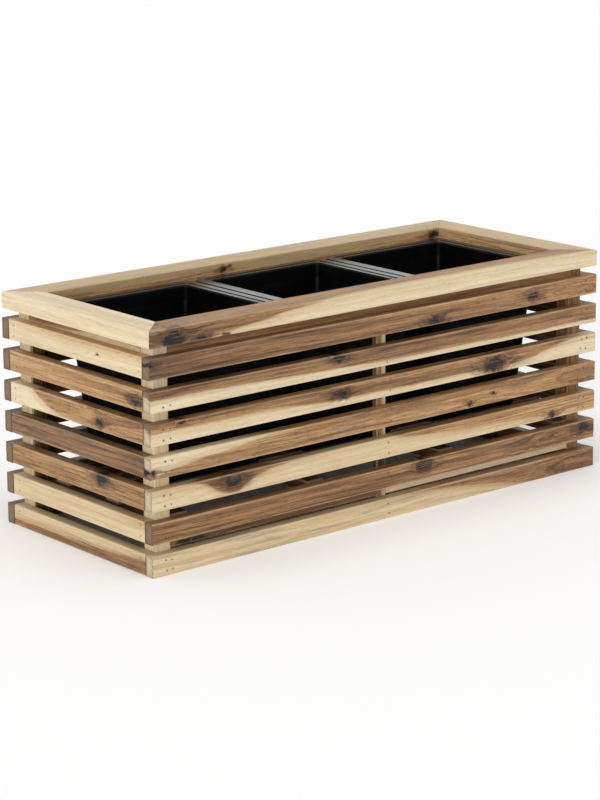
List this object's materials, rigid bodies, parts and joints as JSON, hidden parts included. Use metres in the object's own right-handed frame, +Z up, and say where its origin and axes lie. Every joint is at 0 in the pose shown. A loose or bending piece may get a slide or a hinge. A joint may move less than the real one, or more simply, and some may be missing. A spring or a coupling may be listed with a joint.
{
  "type": "slatted wooden trough planter",
  "caption": "Low oblong planter of spaced hardwood slats under a mitred top frame, with square black plastic pots that drop in side by side and lift out.",
  "frame": {"origin": "on the ground, under the middle of the trough", "axes": "+X along the trough to its right end, +Y from the front to the back, +Z up"},
  "size_m": [1, 0.41, 0.4],
  "materials": {
    "planed_acacia": "oiled satin",
    "sawn_acacia": "sawn matte",
    "black_pot_plastic": "moulded satin"
  },
  "bodies": {
    "trough": {"top_rail_front": "planed_acacia", "top_rail_back": "planed_acacia", "top_rail_left": "planed_acacia", "top_rail_right": "planed_acacia", "corner_post_front_left": "sawn_acacia", "corner_post_front_right": "sawn_acacia", "corner_post_back_left": "sawn_acacia", "corner_post_back_right": "sawn_acacia", "mid_post_front": "sawn_acacia", "mid_post_back": "sawn_acacia", "front_slat_1": "planed_acacia", "front_slat_2": "planed_acacia", "front_slat_3": "planed_acacia", "front_slat_4": "planed_acacia", "front_slat_5": "planed_acacia", "front_slat_6": "planed_acacia", "front_slat_7": "planed_acacia", "back_slat_1": "planed_acacia", "back_slat_2": "planed_acacia", "back_slat_3": "planed_acacia", "back_slat_4": "planed_acacia", "back_slat_5": "planed_acacia", "back_slat_6": "planed_acacia", "back_slat_7": "planed_acacia", "left_slat_1": "planed_acacia", "left_slat_2": "planed_acacia", "left_slat_3": "planed_acacia", "left_slat_4": "planed_acacia", "left_slat_5": "planed_acacia", "left_slat_6": "planed_acacia", "left_slat_7": "planed_acacia", "right_slat_1": "planed_acacia", "right_slat_2": "planed_acacia", "right_slat_3": "planed_acacia", "right_slat_4": "planed_acacia", "right_slat_5": "planed_acacia", "right_slat_6": "planed_acacia", "right_slat_7": "planed_acacia", "upper_rail_front": "sawn_acacia", "upper_rail_back": "sawn_acacia", "upper_rail_left": "sawn_acacia", "upper_rail_right": "sawn_acacia", "bottom_rail_front_left": "sawn_acacia", "bottom_rail_front_right": "sawn_acacia", "bottom_rail_back_left": "sawn_acacia", "bottom_rail_back_right": "sawn_acacia", "cross_bar_1": "sawn_acacia", "cross_bar_2": "sawn_acacia", "cross_bar_3": "sawn_acacia", "cross_bar_4": "sawn_acacia", "floor_board_front": "sawn_acacia", "floor_board_back": "sawn_acacia"},
    "pot_left": {"pot_left": "black_pot_plastic"},
    "pot_middle": {"pot_middle": "black_pot_plastic"},
    "pot_right": {"pot_right": "black_pot_plastic"}
  },
  "joints": [
    {"name": "pot_left_lift", "type": "slide", "parent": "trough", "child": "pot_left", "axis": [0, 0, 1], "range_m": [0, 0.3]},
    {"name": "pot_middle_lift", "type": "slide", "parent": "trough", "child": "pot_middle", "axis": [0, 0, 1], "range_m": [0, 0.3]},
    {"name": "pot_right_lift", "type": "slide", "parent": "trough", "child": "pot_right", "axis": [0, 0, 1], "range_m": [0, 0.3]}
  ]
}
